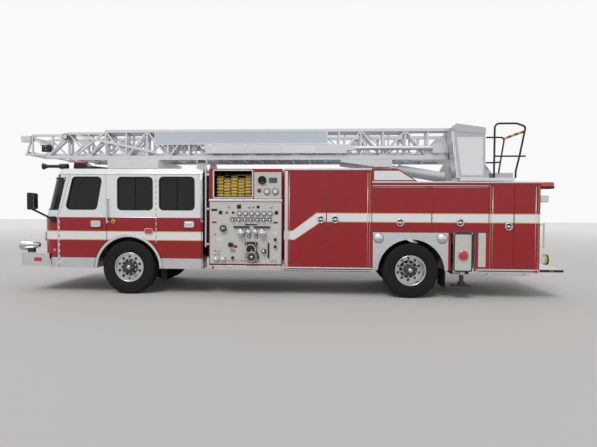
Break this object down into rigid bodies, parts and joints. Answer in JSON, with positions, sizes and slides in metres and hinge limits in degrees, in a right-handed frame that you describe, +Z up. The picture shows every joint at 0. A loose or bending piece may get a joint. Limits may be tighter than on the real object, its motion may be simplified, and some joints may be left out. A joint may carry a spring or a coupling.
{
  "type": "aerial ladder fire engine",
  "caption": "Red and white fire engine with a four-door cab, open pump panel, side lockers, outriggers and a nested lattice ladder on a rear turntable that turns, lifts and extends.",
  "frame": {"origin": "On the ground, on the centre line, under the middle of the overall length.", "axes": "+X points to the rear, so the cab faces -X. -Y is the driver's side. +Z is up."},
  "size_m": [11.225, 3, 3.431],
  "materials": {
    "red_paint": "gloss",
    "white_paint": "gloss",
    "black_paint": "satin",
    "grey_paint": "satin",
    "stainless": "brushed",
    "chrome": "polished",
    "aluminium": "satin",
    "bright_disc": "polished",
    "cast_iron": "matte",
    "window_glass": "clear",
    "tyre": "matte",
    "black_plastic": "matte",
    "lamp_plastic": "gloss",
    "white_plastic": "gloss",
    "hose_fabric": "matte",
    "trim_fabric": "matte"
  },
  "bodies": {
    "chassis": {"chassis_frame": "black_paint", "front_bumper": "stainless", "cab_shell": "red_paint", "cab_glass": "window_glass", "cab_interior": "trim_fabric", "engine": "cast_iron", "front_axle": "cast_iron", "rear_axle": "cast_iron", "pump_house": "stainless", "pump_panels": "black_paint", "crosslay_hose": "hose_fabric", "body_shell": "red_paint", "tailboard": "aluminium", "wheel_arches": "stainless", "warning_lights": "lamp_plastic", "mirrors": "black_plastic", "roof_unit": "white_plastic", "horns": "chrome", "grab_rails": "stainless", "ladder_rest": "grey_paint"},
    "turntable": {"turntable": "grey_paint", "turntable_rails": "black_paint"},
    "console_lid": {"console_lid": "grey_paint"},
    "ladder_base": {"ladder_base": "aluminium"},
    "ladder_mid": {"ladder_mid": "aluminium"},
    "ladder_fly": {"ladder_fly": "aluminium"},
    "lift_barrels": {"lift_barrels": "grey_paint"},
    "lift_rods": {"lift_rods": "chrome"},
    "outrigger_beam_left": {"outrigger_beam_left": "stainless"},
    "outrigger_jack_left": {"outrigger_jack_left": "grey_paint"},
    "knuckle_left": {"knuckle_left": "cast_iron"},
    "front_wheel_left": {"front_tyre_left": "tyre", "front_rim_left": "bright_disc"},
    "rear_wheels_left": {"rear_tyres_left": "tyre", "rear_rims_left": "bright_disc"},
    "front_door_left": {"front_door_left": "red_paint", "front_door_glass_left": "window_glass"},
    "crew_door_left": {"crew_door_left": "red_paint", "crew_door_glass_left": "window_glass"},
    "upper_doors_left": {"upper_doors_left": "red_paint"},
    "front_locker_fore_left": {"front_locker_fore_left": "red_paint"},
    "front_locker_aft_left": {"front_locker_aft_left": "red_paint"},
    "rear_locker_fore_left": {"rear_locker_fore_left": "red_paint"},
    "rear_locker_aft_left": {"rear_locker_aft_left": "red_paint"},
    "outrigger_beam_right": {"outrigger_beam_right": "stainless"},
    "outrigger_jack_right": {"outrigger_jack_right": "grey_paint"},
    "knuckle_right": {"knuckle_right": "cast_iron"},
    "front_wheel_right": {"front_tyre_right": "tyre", "front_rim_right": "bright_disc"},
    "rear_wheels_right": {"rear_tyres_right": "tyre", "rear_rims_right": "bright_disc"},
    "front_door_right": {"front_door_right": "red_paint", "front_door_glass_right": "window_glass"},
    "crew_door_right": {"crew_door_right": "red_paint", "crew_door_glass_right": "window_glass"},
    "upper_doors_right": {"upper_doors_right": "red_paint"},
    "front_locker_fore_right": {"front_locker_fore_right": "red_paint"},
    "front_locker_aft_right": {"front_locker_aft_right": "red_paint"},
    "rear_locker_fore_right": {"rear_locker_fore_right": "red_paint"},
    "rear_locker_aft_right": {"rear_locker_aft_right": "red_paint"}
  },
  "joints": [
    {"name": "turntable_turn", "type": "hinge", "parent": "chassis", "child": "turntable", "pos_m": [4.2425, 0, 2.27], "axis": [0, 0, 1], "continuous": true},
    {"name": "ladder_lift", "type": "hinge", "parent": "turntable", "child": "ladder_base", "pos_m": [3.9925, 0, 2.943], "axis": [0, 1, 0], "range_deg": [0, 75]},
    {"name": "ladder_extend", "type": "slide", "parent": "ladder_base", "child": "ladder_mid", "axis": [-1, 0, 0], "range_m": [0, 6.6]},
    {"name": "fly_extend", "type": "slide", "parent": "ladder_mid", "child": "ladder_fly", "axis": [-1, 0, 0], "range_m": [0, 6.6]},
    {"name": "lift_barrel_swing", "type": "hinge", "parent": "turntable", "child": "lift_barrels", "pos_m": [3.6495, 0, 2.414], "axis": [0, 1, 0], "range_deg": [0, 71]},
    {"name": "lift_rod_slide", "type": "slide", "parent": "lift_barrels", "child": "lift_rods", "axis": [-0.9863, 0, 0.165], "range_m": [0, 0.77]},
    {"name": "console_lid_hinge", "type": "hinge", "parent": "turntable", "child": "console_lid", "pos_m": [3.6155, -0.82, 3.262], "axis": [0, -1, 0], "range_deg": [0, 70]},
    {"name": "outrigger_left", "type": "slide", "parent": "chassis", "child": "outrigger_beam_left", "axis": [0, -1, 0], "range_m": [0, 1.3]},
    {"name": "outrigger_jack_left", "type": "slide", "parent": "outrigger_beam_left", "child": "outrigger_jack_left", "axis": [0, 0, -1], "range_m": [0, 0.23]},
    {"name": "steering_left", "type": "hinge", "parent": "chassis", "child": "knuckle_left", "pos_m": [-2.8575, -0.86, 0.535], "axis": [0, 0, 1], "range_deg": [-40, 40]},
    {"name": "front_wheel_spin_left", "type": "hinge", "parent": "knuckle_left", "child": "front_wheel_left", "pos_m": [-2.8575, -1.07, 0.535], "axis": [0, 1, 0], "continuous": true},
    {"name": "rear_wheels_spin_left", "type": "hinge", "parent": "chassis", "child": "rear_wheels_left", "pos_m": [2.7425, -0.91, 0.535], "axis": [0, 1, 0], "continuous": true},
    {"name": "front_door_hinge_left", "type": "hinge", "parent": "chassis", "child": "front_door_left", "pos_m": [-4.2855, -1.225, 1.4], "axis": [0, 0, -1], "range_deg": [0, 75]},
    {"name": "crew_door_hinge_left", "type": "hinge", "parent": "chassis", "child": "crew_door_left", "pos_m": [-2.2895, -1.225, 1.4], "axis": [0, 0, -1], "range_deg": [0, 75]},
    {"name": "front_locker_fore_hinge_left", "type": "hinge", "parent": "chassis", "child": "front_locker_fore_left", "pos_m": [0.3645, -1.24, 1.4], "axis": [0, 0, -1], "range_deg": [0, 110]},
    {"name": "front_locker_aft_hinge_left", "type": "hinge", "parent": "chassis", "child": "front_locker_aft_left", "pos_m": [1.9095, -1.24, 1.4], "axis": [0, 0, 1], "range_deg": [0, 90]},
    {"name": "rear_locker_fore_hinge_left", "type": "hinge", "parent": "chassis", "child": "rear_locker_fore_left", "pos_m": [4.2615, -1.24, 1.4], "axis": [0, 0, -1], "range_deg": [0, 90]},
    {"name": "rear_locker_aft_hinge_left", "type": "hinge", "parent": "chassis", "child": "rear_locker_aft_left", "pos_m": [5.0825, -1.24, 1.4], "axis": [0, 0, 1], "range_deg": [0, 105]},
    {"name": "upper_doors_hinge_left", "type": "hinge", "parent": "chassis", "child": "upper_doors_left", "pos_m": [3.0925, -1.24, 2.16], "axis": [-1, 0, 0], "range_deg": [0, 90]},
    {"name": "outrigger_right", "type": "slide", "parent": "chassis", "child": "outrigger_beam_right", "axis": [0, 1, 0], "range_m": [0, 1.3]},
    {"name": "outrigger_jack_right", "type": "slide", "parent": "outrigger_beam_right", "child": "outrigger_jack_right", "axis": [0, 0, -1], "range_m": [0, 0.23]},
    {"name": "steering_right", "type": "hinge", "parent": "chassis", "child": "knuckle_right", "pos_m": [-2.8575, 0.86, 0.535], "axis": [0, 0, 1], "range_deg": [-40, 40]},
    {"name": "front_wheel_spin_right", "type": "hinge", "parent": "knuckle_right", "child": "front_wheel_right", "pos_m": [-2.8575, 1.07, 0.535], "axis": [0, 1, 0], "continuous": true},
    {"name": "rear_wheels_spin_right", "type": "hinge", "parent": "chassis", "child": "rear_wheels_right", "pos_m": [2.7425, 0.91, 0.535], "axis": [0, 1, 0], "continuous": true},
    {"name": "front_door_hinge_right", "type": "hinge", "parent": "chassis", "child": "front_door_right", "pos_m": [-4.2855, 1.225, 1.4], "axis": [0, 0, 1], "range_deg": [0, 75]},
    {"name": "crew_door_hinge_right", "type": "hinge", "parent": "chassis", "child": "crew_door_right", "pos_m": [-2.2895, 1.225, 1.4], "axis": [0, 0, 1], "range_deg": [0, 75]},
    {"name": "front_locker_fore_hinge_right", "type": "hinge", "parent": "chassis", "child": "front_locker_fore_right", "pos_m": [0.3645, 1.24, 1.4], "axis": [0, 0, 1], "range_deg": [0, 110]},
    {"name": "front_locker_aft_hinge_right", "type": "hinge", "parent": "chassis", "child": "front_locker_aft_right", "pos_m": [1.9095, 1.24, 1.4], "axis": [0, 0, -1], "range_deg": [0, 90]},
    {"name": "rear_locker_fore_hinge_right", "type": "hinge", "parent": "chassis", "child": "rear_locker_fore_right", "pos_m": [4.2615, 1.24, 1.4], "axis": [0, 0, 1], "range_deg": [0, 90]},
    {"name": "rear_locker_aft_hinge_right", "type": "hinge", "parent": "chassis", "child": "rear_locker_aft_right", "pos_m": [5.0825, 1.24, 1.4], "axis": [0, 0, -1], "range_deg": [0, 105]},
    {"name": "upper_doors_hinge_right", "type": "hinge", "parent": "chassis", "child": "upper_doors_right", "pos_m": [3.0925, 1.24, 2.16], "axis": [1, 0, 0], "range_deg": [0, 90]}
  ],
  "couplings": [
    {"joint": "fly_extend", "follows": "ladder_extend", "ratio": 1},
    {"joint": "lift_barrel_swing", "follows": "ladder_lift", "ratio": 0.931},
    {"joint": "lift_rod_slide", "follows": "ladder_lift", "m_per_rad": 0.575},
    {"joint": "steering_right", "follows": "steering_left", "ratio": 1}
  ]
}
